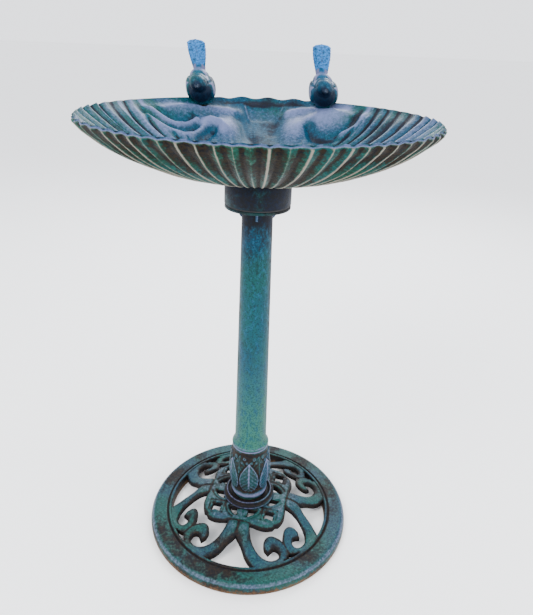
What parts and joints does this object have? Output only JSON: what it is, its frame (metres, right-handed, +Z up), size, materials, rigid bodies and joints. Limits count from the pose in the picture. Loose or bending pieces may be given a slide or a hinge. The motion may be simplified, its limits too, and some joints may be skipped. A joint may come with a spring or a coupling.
{
  "type": "bird bath",
  "caption": "Free-standing pedestal bird bath: fluted shell basin with two perched wrens, tapered column with leaf sleeve, openwork scroll base.",
  "frame": {"origin": "on the ground at the column's axis, under the centre of the base ring", "axes": "+Z up along the column, -Y towards the front, where the birds face, +X to the right of someone who faces the front"},
  "size_m": [0.5006, 0.4955, 0.8251],
  "materials": {
    "verdigris": "moulded resin, teal verdigris brushed over charcoal, satin",
    "shell_patina": "moulded resin, blue-green brushed over charcoal with lilac-grey highlights, satin",
    "dark_patina": "moulded resin, charcoal-navy with teal smudges, satin",
    "leaf_patina": "moulded resin, dark brown and teal brushed leaves, satin",
    "bird_patina": "moulded resin, blue brushed over dark teal, satin",
    "zinc_steel": "zinc plated",
    "seat_rubber": "matt black"
  },
  "bodies": {
    "stand": {"openwork_base": "verdigris", "foot_collar": "dark_patina", "leaf_sleeve": "leaf_patina", "column": "verdigris", "column_cap": "dark_patina", "tie_rod": "zinc_steel", "rod_washer_lower": "zinc_steel", "rod_nut_lower": "zinc_steel", "rod_washer_upper": "zinc_steel", "rod_nut_upper": "zinc_steel"},
    "seat": {"seat_ring": "seat_rubber"},
    "bowl": {"basin_hub": "dark_patina", "basin": "shell_patina", "hub_screw_1": "zinc_steel", "hub_screw_2": "zinc_steel", "hub_screw_3": "zinc_steel", "hub_screw_4": "zinc_steel", "bird_left": "bird_patina", "bird_right": "bird_patina", "bird_washer_left": "zinc_steel", "bird_washer_right": "zinc_steel", "bird_screw_left": "zinc_steel", "bird_screw_right": "zinc_steel"}
  },
  "joints": [
    {"name": "basin_turn", "type": "hinge", "parent": "stand", "child": "seat", "pos_m": [0, 0, 0.6093], "axis": [0, 0, 1], "continuous": true},
    {"name": "basin_lift", "type": "slide", "parent": "seat", "child": "bowl", "axis": [0, 0, 1], "range_m": [0, 0.06]}
  ]
}
